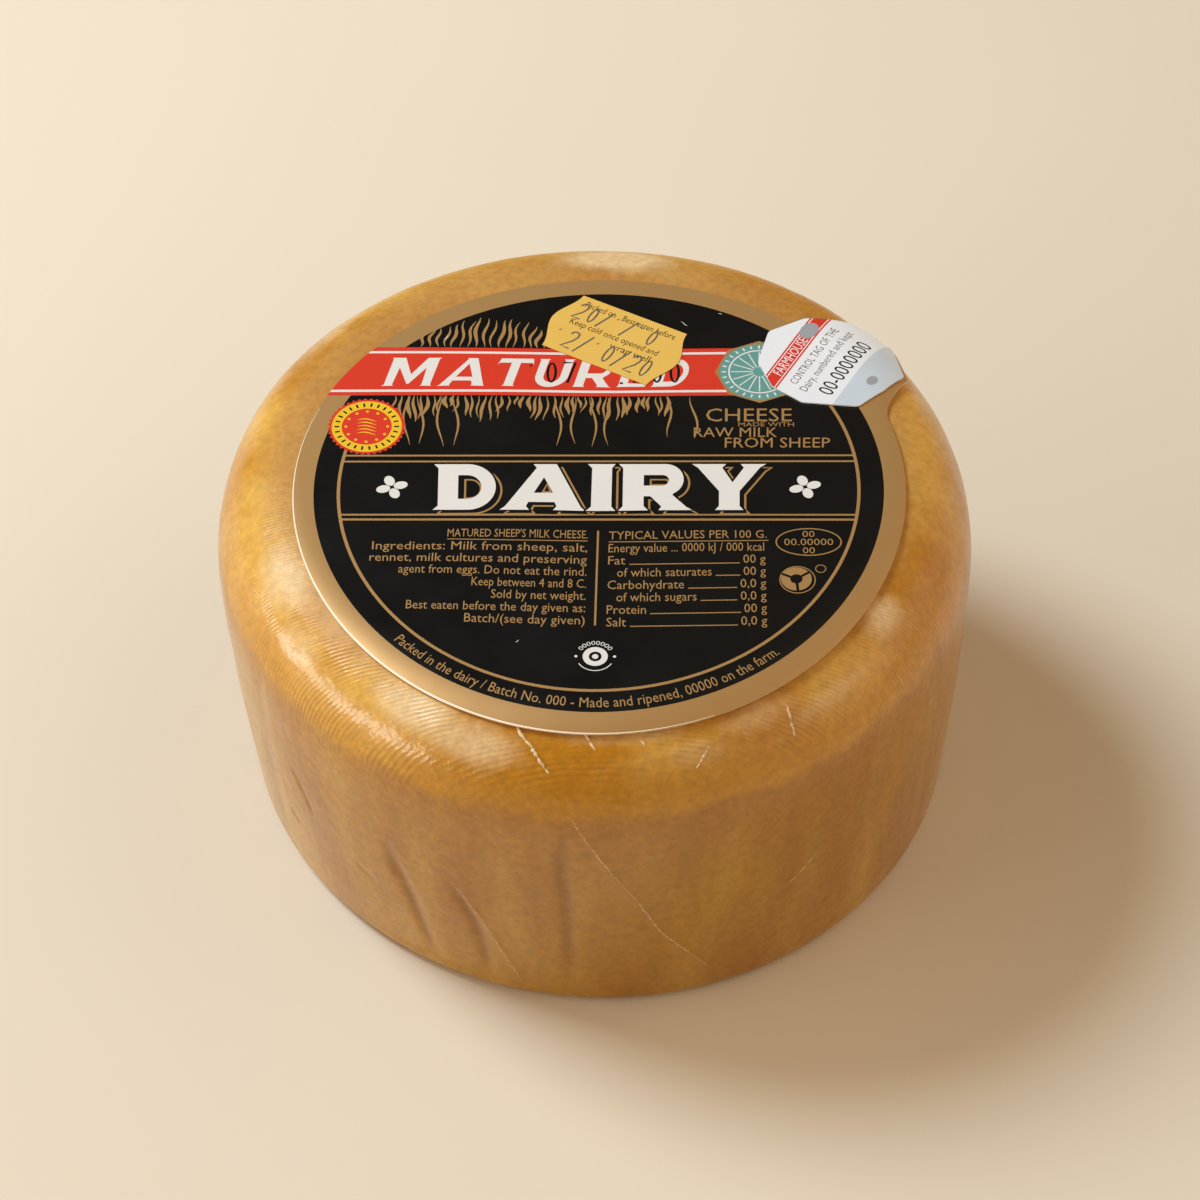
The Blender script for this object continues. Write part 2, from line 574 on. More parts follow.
def turned_wheel_tree(rind, wrinkle):
    """Turns the profile into a wheel, presses the folds in, and lays the wrinkles on it."""
    tree = bpy.data.node_groups.new("turned_and_pressed_wheel", "GeometryNodeTree")
    sockets = {}
    for name, kind in (("Profile", "Geometry"), ("Segments", "Int"), ("Fold Lines", "Object"),
                       ("Wrinkle Lines", "Object"), ("Unevenness", "Float"), ("Lump Size", "Float"),
                       ("Seed", "Int")):
        made = tree.interface.new_socket(name, in_out="INPUT", socket_type="NodeSocket" + kind)
        sockets[name] = made.identifier
    tree.interface.new_socket("Wheel", in_out="OUTPUT", socket_type="NodeSocketGeometry")
    given = add(tree, "NodeGroupInput").outputs

    smooth_wheel = turned(tree, given["Profile"], given["Segments"])
    wheel = pressed(tree, smooth_wheel, given["Fold Lines"], given["Unevenness"], given["Lump Size"],
                    given["Seed"])
    joined = add(tree, "GeometryNodeJoinGeometry")
    for shape, material in ((wrinkled(tree, wheel, given["Wrinkle Lines"]), wrinkle), (wheel, rind)):
        smooth = add(tree, "GeometryNodeSetShadeSmooth", {"Geometry": shape})
        finished = add(tree, "GeometryNodeSetMaterial", {"Geometry": smooth, "Material": material})
        tree.links.new(finished.outputs[0], joined.inputs[0])
    real = add(tree, "GeometryNodeRealizeInstances", {"Geometry": joined})
    add(tree, "NodeGroupOutput", {"Wheel": real})
    return tree, sockets


# Cream patches, where the coat is thin: bearing, mm along the rind, half width, half length, strength.
PALE_PATCHES = [
    (86, 58.5, 10, 4.5, 1.3),
    (-157, 61, 8, 5, 0.75),
    (-144, 66, 5, 4, 0.6),
    (-120, 63, 9, 4, 1.0),
    (-109, 65, 9, 4, 0.9),
    (-86, 61, 11, 2.5, 0.55),
    (-64, 63.5, 8, 3, 0.5),
    (-34, 62.5, 4.5, 3.5, 0.95),
    (-49.5, 66.8, 10, 1.8, 0.45),
    (-76, 66, 14, 2.5, 0.3),
    (20, 66, 6, 4, 0.4),
    (140, 64, 8, 3, 0.45),
    (170, 100, 6, 9, 0.35),
    (60, 104, 7, 8, 0.35),
]


def pale_strength(x, y, z, length):
    strength = 0.0
    for bearing, middle, half_width, half_length, most in PALE_PATCHES:
        centre = on_rind(bearing, middle)
        if math.dist(centre, (x, y, z)) > 25:
            continue
        radius = math.hypot(centre[0], centre[1])
        turn = (math.degrees(math.atan2(y, x)) - bearing + 180) % 360 - 180
        across = math.radians(turn) * radius / half_width
        along = (length - middle) / half_length
        strength = max(strength, most * math.exp(-(across ** 2 + along ** 2) ** 1.3))
    return strength


def make_wheel():
    rind = coated_rind()
    wrinkle = dry_wrinkle()
    profile = wire("wheel_profile", [[(radius, 0, height) for radius, height in PROFILE]],
                   {"length": LENGTHS})
    folds = folds_wire()
    wrinkles = wrinkles_wire()
    tree, sockets = turned_wheel_tree(rind, wrinkle)
    pressing = profile.modifiers.new("turning_and_pressing", "NODES")
    pressing.node_group = tree
    settings = {"Segments": 640, "Fold Lines": folds, "Wrinkle Lines": wrinkles,
                "Unevenness": 0.0006, "Lump Size": 0.022, "Seed": 11}
    for name, value in settings.items():
        pressing[sockets[name]] = value
    shaped = profile.evaluated_get(bpy.context.evaluated_depsgraph_get())
    mesh = bpy.data.meshes.new_from_object(shaped)
    mesh.name = "cheese_wheel_rind"
    for spare in (profile, folds, wrinkles):
        bpy.data.objects.remove(spare)

    lengths = [0.0] * len(mesh.vertices)
    mesh.attributes["length"].data.foreach_get("value", lengths)
    pales = []
    for vertex, length in zip(mesh.vertices, lengths):
        x, y, z = vertex.co / MM
        pales.append(pale_strength(x, y, z, length))
        vertex.co = place((x, y, z))
    mesh.attributes.new("pale", "FLOAT", "POINT").data.foreach_set("value", pales)
    mesh.update()
    return new_object("cheese_wheel_rind", mesh)


# ---------------------------------------------------------------- drawing the print
# Every drawn thing is one or more closed loops of points, in mm on the flat paper. A point is inked
# where an odd number of an item's loops hold it, and a later item covers an earlier one.


def arc(x, y, radius, start, end, count=40, squash=1.0):
    """Points round part of a circle, from one bearing to another in degrees, flattened by the squash."""
    turns = [math.radians(start + (end - start) * step / count) for step in range(count + 1)]
    return [(x + radius * math.cos(turn), y + squash * radius * math.sin(turn)) for turn in turns]


def circle(x, y, radius, count=48, squash=1.0):
    return arc(x, y, radius, 0, 360, count, squash)[:-1]


def box_loop(left, bottom, right, top):
    return [(left, bottom), (right, bottom), (right, top), (left, top)]


def stroke(path, width, taper=False):
    """A band along a path, pointed at both ends if it tapers."""
    left = []
    right = []
    for step, (x, y) in enumerate(path):
        before = path[max(step - 1, 0)]
        after = path[min(step + 1, len(path) - 1)]
        run = math.dist(before, after)
        share = step / (len(path) - 1)
        half = width / 2 * (0.15 + 0.85 * math.sin(math.pi * share) if taper else 1)
        nx = -(after[1] - before[1]) / run * half
        ny = (after[0] - before[0]) / run * half
        left.append((x + nx, y + ny))
        right.append((x - nx, y - ny))
    return left + right[::-1]


def moved(loops, x=0.0, y=0.0, turn=0.0, wide=1.0, high=1.0):
    """The loops widened, turned and then moved."""
    cosine = math.cos(turn)
    sine = math.sin(turn)
    return [[(x + px * wide * cosine - py * high * sine, y + px * wide * sine + py * high * cosine)
             for px, py in loop] for loop in loops]


def loop_area(loop):
    """The loop's area, below zero if it runs clockwise."""
    return sum(a[0] * b[1] - b[0] * a[1] for a, b in zip(loop, loop[1:] + loop[:1])) / 2


def grown(loop, by):
    """The loop with its edge moved out by that much."""
    side = 1 if loop_area(loop) > 0 else -1
    result = []
    for step, (x, y) in enumerate(loop):
        before = Vector((x - loop[step - 1][0], y - loop[step - 1][1])).normalized()
        after = loop[(step + 1) % len(loop)]
        ahead = Vector((after[0] - x, after[1] - y)).normalized()
        out = Vector((before.y + ahead.y, -before.x - ahead.x)) * side
        miter = max(out.length_squared / 2, 0.45)
        result.append((x + out.x * by / miter, y + out.y * by / miter))
    return result


def letters(text, weight=0.0, fineness=2):
    """The outlines of a line of plain lettering, in the font's own units, starting at 0, 0."""
    data = bpy.data.curves.new("lettering", "FONT")
    data.body = text
    data.offset = weight
    data.resolution_u = fineness
    data.fill_mode = "NONE"
    item = new_object("lettering", data)
    mesh = bpy.data.meshes.new_from_object(item.evaluated_get(bpy.context.evaluated_depsgraph_get()))
    next_to = {}
    for edge in mesh.edges:
        a, b = edge.vertices
        next_to.setdefault(a, []).append(b)
        next_to.setdefault(b, []).append(a)
    loops = []
    seen = set()
    for start in next_to:
        if start in seen:
            continue
        loop = [start]
        seen.add(start)
        while True:
            ahead = [other for other in next_to[loop[-1]] if other not in seen]
            if not ahead:
                break
            loop.append(ahead[0])
            seen.add(ahead[0])
        if len(loop) > 2:
            loops.append([tuple(mesh.vertices[vertex].co.xy) for vertex in loop])
    bpy.data.objects.remove(item)
    bpy.data.curves.remove(data)
    bpy.data.meshes.remove(mesh)
    return loops


CAPITAL = max(y for loop in letters("H") for x, y in loop)


def text_line(text, left, right, base, height, weight=0.0, slant=0.0, fineness=2):
    """Lettering that fills left to right, with capitals of that height on the base line."""
    loops = [[(x / CAPITAL, y / CAPITAL) for x, y in loop] for loop in letters(text, weight, fineness)]
    first = min(x for loop in loops for x, y in loop)
    last = max(x for loop in loops for x, y in loop)
    wide = (right - left - slant * height) / (last - first)
    return [[(left + (x - first) * wide + slant * y * height, base + y * height) for x, y in loop]
            for loop in loops]


def round_text(text, middle, radius, start, end, height, weight=0.0, inwards=True):
    """Lettering bent round a circle, from one bearing to another. Its heads point in or out."""
    bent = []
    for loop in text_line(text, 0.0, 1.0, 0.0, height, weight):
        path = []
        for x, y in loop:
            reach = radius - y if inwards else radius + y
            px, py = polar(reach, math.radians(start + (end - start) * x))
            path.append((middle[0] + px, middle[1] + py))
        bent.append(path)
    return bent


# Thin stamped figures: pen strokes in a box one unit high and 0.6 wide.
STAMPED = {
    "1": [[(0.1, 0.78), (0.34, 1.0), (0.34, 0.0)]],
    "2": [[(0.04, 0.8), (0.14, 0.96), (0.3, 1.0), (0.48, 0.94), (0.54, 0.74), (0.44, 0.48), (0.02, 0.0),
           (0.58, 0.0)]],
    "7": [[(0.02, 1.0), (0.56, 1.0), (0.22, 0.0)]],
    "/": [[(0.06, -0.08), (0.5, 1.08)]],
    ".": [[(0.2, 0.0), (0.36, 0.0)]],
    " ": [],
}


def stamped(text, left, right, base, height, pen, slant=0.0):
    """Figures as a hand stamp leaves them, in strokes of one pen width: an item's loops for each."""
    pitch = (right - left) / len(text)
    items = []
    for index, figure in enumerate(text):
        start = left + pitch * index
        if figure == "0":
            middle = start + (0.37 + slant * 0.5) * pitch
            half_width = 0.3 * pitch
            items.append([circle(middle, base + height / 2, half_width - inset, 36,
                                 (height / 2 - inset) / (half_width - inset)) for inset in (0, pen)])
            continue
        for path in STAMPED[figure]:
            points = [(start + (x * 1.25 + slant * y) * pitch, base + y * height) for x, y in path]
            items.append([stroke(points, pen)])
    return items


# Wide capitals with small spurred corners, for the label's one big word and its banner: outlines in
# hundredths of their height, then how wide each is.
BIG_LETTERS = {
    "D": ([[(-6, 100), (2, 91), (2, 9), (-7, 0)] + arc(56, 50, 50, -90, 90, 20),
           [(38, 76), (38, 24)] + arc(54, 50, 26, -90, 90, 14)], 108),
    "A": ([[(54, 100), (96, 100), (142, 8), (150, 0), (92, 0), (98, 8), (94, 17), (46, 17), (42, 8),
            (48, 0), (-6, 0), (4, 8), (60, 92)],
           [(73, 71), (55, 37), (90, 37)]], 146),
    "I": ([[(-6, 100), (2, 91), (2, 9), (-7, 0), (45, 0), (38, 9), (38, 91), (44, 100)]], 44),
    "R": ([[(-6, 100), (2, 91), (2, 9), (-6, 0), (48, 0), (40, 9), (40, 30), (52, 30), (72, 8), (67, 0),
            (128, 0), (117, 7), (92, 33)] + arc(78, 66, 34, -62, 90, 18),
           [(40, 76), (40, 53), (72, 53)] + arc(74, 64.5, 11.5, -80, 80, 8) + [(72, 76)]], 122),
    "E": ([[(-6, 100), (2, 91), (2, 9), (-6, 0), (92, 0), (95, 26), (86, 20), (38, 20), (38, 42), (64, 42),
            (72, 34), (72, 65), (64, 58), (38, 58), (38, 80), (82, 80), (92, 72), (90, 100)]], 92),
    "M": ([[(-6, 100), (46, 100), (76, 48), (106, 100), (158, 100), (149, 91), (149, 9), (158, 0), (106, 0),
            (114, 9), (114, 60), (82, 6), (70, 6), (36, 60), (36, 9), (44, 0), (-8, 0), (2, 9),
            (2, 91)]], 152),
    "T": ([[(0, 100), (-4, 70), (6, 78), (34, 78), (34, 9), (26, 0), (80, 0), (71, 9), (71, 78), (99, 78),
            (109, 70), (105, 100)]], 104),
    "U": ([[(-6, 100), (2, 91)] + arc(56, 40, 54, 180, 360, 20, 0.78)
           + [(110, 91), (118, 100), (68, 100), (76, 91)] + arc(56, 40, 20, 0, -180, 12, 0.9)
           + [(36, 91), (44, 100)]], 112),
    "Y": ([[(-8, 100), (54, 100), (47, 92), (66, 60), (86, 92), (80, 100), (126, 100), (115, 92), (79, 41),
            (79, 9), (86, 0), (35, 0), (42, 9), (42, 41), (3, 92)]], 118),
}
LETTER_GAP = 12


def big_word(text, left, right, base, height):
    """The word in big letters, filling left to right: an item's loops for each letter."""
    total = sum(BIG_LETTERS[letter][1] for letter in text) + LETTER_GAP * (len(text) - 1)
    wide = (right - left) / total
    placed = []
    x = left
    for letter in text:
        loops, width = BIG_LETTERS[letter]
        placed.append([[(x + px * wide, base + py * height / 100) for px, py in loop] for loop in loops])
        x += (width + LETTER_GAP) * wide
    return placed


# Middles of the printed marks, and the banner's edges, on the flat label.
SCALLOPED_SEAL = (-42.5, 16.0)
SPOKED_SEAL = (29.1, 30.3)
BADGE = (0.5, -39.5)
BANNER_LEFT, BANNER_RIGHT = -60.0, 24.5
BANNER_FOOT, BANNER_HEAD = 24.0, 36.6


def ring(x, y, radius, width, count=48):
    """A ring of that outer radius, and that wide."""
    return [circle(x, y, radius, count), circle(x, y, radius - width, count)]


def round_about(loop, middle, count, reach=0.0, start=0.0):
    """Copies of a loop set evenly round a point, each turned to the way it lies from there."""
    copies = []
    for step in range(count):
        turn = start + 2 * math.pi * step / count
        x, y = polar(reach, turn)
        copies += moved([loop], middle[0] + x, middle[1] + y, turn)
    return copies


def label_artwork():
    """The round label's print, from the ground up, as (ink, loops), about the label's middle."""
    art = [
        ("black", [circle(0, 0, 51.7, 180)]),
        ("gold", ring(0, 0, 47.5, 0.6, 140)),
        # The ring is cut away behind the banner and above it.
        ("black", [arc(0, 0, 48.3, 41, 166, 60) + arc(0, 0, 45.9, 166, 41, 60)]),
    ]
    for base, thick in ((8.6, 0.42), (7.1, 0.42), (-6.4, 0.42), (-7.6, 0.5)):
        half = math.sqrt(47.2 ** 2 - base ** 2)
        art.append(("gold", [box_loop(-half, base - thick / 2, half, base + thick / 2)]))
    return art + blades() + banner() + seals() + big_word_and_rosettes() + small_print() + marks()


def blades():
    """Loose wavy blades, above and below the banner."""
    rng = random.Random(21)
    art = []
    for step in range(19):
        x = -33.5 + step * 1.42 + rng.uniform(-0.2, 0.2)
        top = 37.2 + 7.6 * math.sin(math.pi * (step + 3.5) / 24) + rng.uniform(-0.7, 0.3)
        lean = rng.uniform(0.3, 1.0)
        path = [(x + lean * (k / 8) ** 2 + 0.28 * math.sin(k * 0.9 + step), 36.8 + (top - 36.8) * k / 8)
                for k in range(9)]
        art.append(("gold", [stroke(path, rng.uniform(0.4, 0.75), True)]))
    for step in range(44):
        x = -37.5 + step * 1.16 + rng.uniform(-0.25, 0.25)
        fall = 2.4 + 3.6 * abs(math.sin(step * 0.31 + 0.4)) + rng.uniform(-0.5, 0.8)
        lean = rng.uniform(-0.9, 0.5)
        path = [(x + lean * (k / 8) ** 2 + 0.22 * math.sin(k * 0.8 + step), 23.9 - fall * k / 8)
                for k in range(9)]
        art.append(("gold", [stroke(path, rng.uniform(0.35, 0.85), True)]))
    for x, reach in ((-35.6, 12.5), (-33.0, 12.2), (-29.4, 12.9), (-26.6, 12.6), (-8.0, 12.8), (-5.2, 12.2),
                     (-1.6, 13.0), (0.9, 12.5), (12.2, 10.5), (16.8, 10.9)):
        path = [(x + 0.55 * math.sin(k * 0.55 + x) + 0.06 * k, 23.8 - reach * k / 10) for k in range(11)]
        art.append(("gold", [stroke(path, 0.42, True)]))
    return art


def banner():
    """A red band with a white line near both edges, one thin slanted word, and stamped figures."""
    base = 26.2
    art = [("red", [box_loop(BANNER_LEFT, BANNER_FOOT, BANNER_RIGHT, BANNER_HEAD)]),
           ("white", [box_loop(BANNER_LEFT, foot, BANNER_RIGHT, foot + 0.6) for foot in (35.0, 24.9)])]
    for loops in big_word("MATURED", -40.4, 15.6, base, 7.9):
        thin = [grown(loops[0], -0.3)] + [grown(loop, 0.3) for loop in loops[1:]]
        art.append(("white", [[(x + 0.22 * (y - base), y) for x, y in loop] for loop in thin]))
    return art + [("black", loops) for loops in stamped("107 1.200", -13.8, 15.6, 27.5, 5.4, 0.5)]


def seals():
    """Two plain seals: a scalloped disc on the left, and a spoked one on the right."""
    x, y = SCALLOPED_SEAL
    teeth = []
    for step in range(80):
        px, py = polar(7.25 if step % 2 else 6.75, math.pi * step / 40)
        teeth.append((x + px, y + py))
    art = [
        ("red", [teeth]),
        ("yellow", ring(x, y, 6.45, 1.85)),
        ("black", round_about(box_loop(-0.45, -0.18, 0.45, 0.18), SCALLOPED_SEAL, 26, 5.5)),
        ("yellow", round_about(circle(0, 0, 0.3, 8), SCALLOPED_SEAL, 12, 3.85)),
    ]
    for step in range(5):
        bow = [(-44.3 + k * 0.6, 14.1 + step * 0.85 + 0.5 * math.sin(k * 0.55 + 0.4)) for k in range(7)]
        art.append(("yellow", [stroke(bow, 0.28, True)]))
    return art + [
        ("gold", [circle(*SPOKED_SEAL, 8.2, 8)]),
        ("teal", [circle(*SPOKED_SEAL, 7.3)]),
        ("white", ring(*SPOKED_SEAL, 5.75, 0.3, 40)),
        ("white", round_about(box_loop(1.2, -0.11, 5.2, 0.11), SPOKED_SEAL, 16)),
        ("white", round_about(box_loop(-0.4, -0.16, 0.4, 0.16), SPOKED_SEAL, 28, 6.55)),
    ]


def big_word_and_rosettes():
    """The big word, with a gold line that follows it below and to the right, between two rosettes."""
    art = []
    for loops in big_word("DAIRY", -29.3, 29.6, -5.2, 11.6):
        shadow = moved(loops, 1.0, -0.95)
        art.append(("gold", [grown(shadow[0], 0.22)] + [grown(loop, -0.22) for loop in shadow[1:]]))
        art.append(("black", [grown(shadow[0], -0.16)] + [grown(loop, 0.16) for loop in shadow[1:]]))
        art.append(("black", [grown(loops[0], 0.4)]))
        for counter in loops[1:]:
            inside = moved([grown(counter, -0.5)], 0.6, -0.5)[0]
            art.append(("gold", [inside]))
            art.append(("black", [grown(inside, -0.36)]))
        art.append(("white", loops))
    petal = circle(1.65, 0, 1.3, 18, 0.95 / 1.3)
    for side in (-1, 1):
        art.append(("white", round_about(petal, (side * 37.5, 0.6), 4, start=0.3)))
    return art


def small_print():
    """The fine lettering: plain words and blank figures only."""
    # A rule under each heading, and one between the two columns.
    gold = [box_loop(-27.0, -12.6, -1.5, -12.4), box_loop(2.2, -12.8, 30.8, -12.6),
            box_loop(0.1, -32.4, 0.45, -10.0)]
    for words, left, right, base, height, weight in (
            ("MATURED SHEEP'S MILK CHEESE.", -27.0, -1.5, -11.9, 1.9, 0.04),
            ("TYPICAL VALUES PER 100 G.", 2.2, 30.5, -12.1, 1.9, 0.04),
            ("CHEESE", 19.3, 35.0, 17.3, 3.3, 0.01),
            ("MADE WITH", 25.2, 35.4, 16.0, 1.05, 0.01),
            ("RAW MILK", 17.1, 32.3, 13.3, 2.4, 0.01),
            ("FROM SHEEP", 22.8, 42.0, 10.6, 2.5, 0.01)):
        gold += text_line(words, left, right, base, height, weight)
    left_rows = (
        ("Ingredients: Milk from sheep, salt,", -40.5),
        ("rennet, milk cultures and preserving", -40.8),
        ("agent from eggs. Do not eat the rind.", -35.4),
        ("Keep between 4 and 8 C.", -21.9),
        ("Sold by net weight.", -18.2),
        ("Best eaten before the day given as:", -33.4),
        ("Batch/(see day given)", -22.7),
    )
    for row, (words, left) in enumerate(left_rows):
        gold += text_line(words, left, -1.5, -15.1 - 2.85 * row, 2.0, 0.02)
    right_rows = (
        ("Energy value ... 0000 kJ / 000 kcal", 2.2, 30.0, None),
        ("Fat", 2.2, 5.2, "00 g"),
        ("of which saturates", 3.8, 20.5, "00 g"),
        ("Carbohydrate", 2.2, 15.6, "0,0 g"),
        ("of which sugars", 3.8, 17.8, "0,0 g"),
        ("Protein", 2.2, 9.0, "00 g"),
        ("Salt", 2.2, 5.6, "0,0 g"),
    )
    amount_end = 30.2
    for row, (words, left, right, amount) in enumerate(right_rows):
        base = -15.2 - 2.9 * row
        gold += text_line(words, left, right, base, 2.0, 0.02)
        if amount:
            start = amount_end - (4.6 if "," in amount else 4.0)
            gold += text_line(amount, start, amount_end, base, 2.0, 0.02)
            gold.append(box_loop(right + 0.7, base - 0.1, start - 0.6, base + 0.12))
    return [("gold", gold)]


def marks():
    """An oval with noughts, a ring icon, a round badge, the cut edge, dust, and the words round the foot."""
    gold = [circle(38.0, -13.1, 5.95, 48, 0.57), circle(38.0, -13.1, 5.7, 48, 0.55)]
    for words, left, right, base, height in (("00", 36.9, 39.1, -11.9, 1.5),
                                             ("00.00000", 33.6, 42.4, -13.9, 1.6),
                                             ("00", 36.9, 39.1, -15.9, 1.5)):
        gold += text_line(words, left, right, base, height)
    x, y = BADGE
    dust = ([(14.6, 44.2), (15.4, 43.2), (15.8, 42.8)], [(-29.6, 38.6), (-29.0, 39.3), (-28.7, 40.1)],
            [(-13.4, -36.6), (-13.0, -36.4), (-12.8, -36.0)], [(21.5, 46.2), (22.0, 46.1), (22.3, 45.9)])
    return [
        ("gold", gold),
        ("gold", ring(35.8, -22.2, 3.25, 0.2, 36)),
        ("gold", ring(35.6, -22.0, 2.75, 1.65, 36)),
        ("black", round_about(box_loop(0.9, -0.25, 2.9, 0.25), (35.6, -22.0), 3, start=0.6)),
        ("gold", ring(40.0, -19.6, 1.0, 0.18, 20)),
        ("white", [circle(x, y, 2.15, 32)]),
        ("black", [circle(x, y, 1.1, 20)]),
        ("white", [circle(x, y, 0.55, 16)]),
        ("white", round_text("00000000", BADGE, 2.65, 150, 30, 0.9, 0.02, inwards=False)),
        ("white", [stroke(arc(x, y, 3.2, -150, -30, 24), 0.18)]),
        ("white", [circle(x - 3.3, y, 0.28, 10), circle(x + 3.3, y, 0.28, 10)]),
        # The bare cut edge shows at the lower left, and a few flecks of dust lie on the black.
        ("label_paper", [stroke(arc(0, 0, 55.4, 158, 292, 120), 0.34, True)]),
        ("white", [stroke(path, 0.16, True) for path in dust]),
        ("gold", round_text("Packed in the dairy / Batch No. 000 - Made and ripened, 00000 on the farm.",
                            (0, 0), 50.75, -133.5, -50.5, 2.0, 0.025)),
    ]


def sticker_artwork():
    """Two rows of small print and two rows of stamped figures."""
    art = [("black", text_line(words, left, right, base, height, weight))
           for words, left, right, base, height, weight in (
               ("Packed on   Best eaten before", -9.5, 9.8, 5.2, 1.5, 0.06),
               ("Keep cold once opened and", -9.9, 9.0, -0.1, 1.5, 0.06),
               ("wrap well", 0.0, 8.5, -2.4, 1.6, 0.07))]
    for figures, left, right, base, height in (("20/1/10", -10.5, 7.5, 1.7, 4.2),
                                               ("12/10/20", -11.0, 10.5, -6.2, 4.6)):
        art += [("grey", loops) for loops in stamped(figures, left, right, base, height, 0.4, 0.1)]
    return art


def tag_artwork():
    """A red strip along the head, three rows of print, a number, and two silver ovals."""
    return [
        ("pale_blue", [[(-16, -16), (16, -16), (16, -5.4), (-16, -5.8)]]),
        ("red", [box_loop(-16.0, 5.3, 16.0, 8.7)]),
        ("card", [box_loop(-16.0, 8.15, 16.0, 8.35), box_loop(-16.0, 5.65, 16.0, 5.85)]),
        ("card", text_line("FARMHOUSE", -7.8, 3.2, 6.1, 1.85, 0.05, slant=0.1)),
        ("silver", [circle(5.4, 7.2, 2.3, 32, 0.7)]),
        ("grey", text_line("CONTROL TAG OF THE", -8.4, 8.4, 2.5, 1.6, 0.04)),
        ("grey", text_line("Dairy, numbered and kept", -9.2, 9.2, 0.0, 1.6, 0.04)),
        ("black", text_line("00-0000000", -8.0, 8.0, -4.5, 2.9, 0.03, fineness=3)),
        ("silver", [circle(-0.75, -9.1, 1.3, 28, 0.75)]),
    ]


# ---------------------------------------------------------------- the papers


def tag_outline(margin):
    """The tag's outline with its corners rounded, held off by a margin."""
    corners = [(TAG_X + along * TAG_LENGTH / 2, TAG_Y + across * TAG_WIDTH / 2)
               for along, across in TAG_CORNERS]
    outline = []
    for index, (x, y) in enumerate(corners):
        before = corners[index - 1]
        after = corners[(index + 1) % len(corners)]
        start = math.atan2(y - before[1], x - before[0]) - math.pi / 2
        bend = (math.atan2(after[1] - y, after[0] - x) - math.pi / 2 - start) % (2 * math.pi)
        inward = polar(TAG_ROUNDING / math.cos(bend / 2), start + bend / 2)
        for step in range(7):
            around = polar(TAG_ROUNDING + margin, start + bend * step / 6)
            outline.append((x - inward[0] + around[0], y - inward[1] + around[1]))
    return outline


def sticker_outline():
    outline = []
    straight = STICKER_LENGTH / 2 - STICKER_WAVE
    for end in (1, -1):
        for step in range(25):
            across = 2 * step / 24 - 1
            wave = STICKER_WAVE * (1 + math.cos(math.pi * across)) / 2
            outline.append((end * (straight + wave), end * across * STICKER_WIDTH / 2))
    return moved([outline], STICKER_X, STICKER_Y, STICKER_TURN)[0]


def divided(loop, step, bend_from):
    """The loop with its long sides divided where the paper bends, so that they can follow it."""
    result = []
    for start, end in zip(loop, loop[1:] + loop[:1]):
        result.append(start)
        if max(math.hypot(*start), math.hypot(*end)) < bend_from:
            continue
        count = min(int(math.dist(start, end) / step) + 1, 60)
        for part in range(1, count):
            share = part / count
            result.append((start[0] + (end[0] - start[0]) * share, start[1] + (end[1] - start[1]) * share))
    return result


def cut_and_inked(items, grid, bend_from):
    """The flat paper as corners, triangles that face up, and each triangle's ink.

    The first item is the paper itself. The grid divides it where it bends, from that far off the wheel's
    axis.
    """
    points = []
    faces = []
    owners = []
    for index, (ink, loops) in enumerate(items):
        for loop in loops:
            start = len(points)
            points.extend(Vector(point) for point in loop)
            faces.append(list(range(start, start + len(loop))))
            if loop_area(loop) < 0:
                faces[-1].reverse()
            owners.append(index)
    xs, ys = zip(*(point for loop in items[0][1] for point in loop))
    fine = max(int((max(xs) - min(xs)) / grid), 2)
    for column in range(fine + 1):
        for row in range(fine + 1):
            x = min(xs) + (max(xs) - min(xs)) * (column + 0.5 * (row % 2)) / fine
            y = min(ys) + (max(ys) - min(ys)) * row / fine
            if math.hypot(x, y) > bend_from or (column % 4 == 0 and row % 4 == 0):
                points.append(Vector((x, y)))
    corners, _, triangles, _, _, holders = delaunay_2d_cdt(points, [], faces, 1, 0.0005)

    kept = []
    shades = []
    for triangle, holding in zip(triangles, holders):
        held = {}
        for face in holding:
            held[owners[face]] = held.get(owners[face], 0) + 1
        if 0 not in held:
            continue
        top_item = max(item for item, count in held.items() if item == 0 or count % 2)
        a, b, c = (corners[corner] for corner in triangle)
        kept.append(tuple(triangle if (b - a).cross(c - a) > 0 else triangle[::-1]))
        shades.append(items[top_item][0])
    return corners, kept, shades


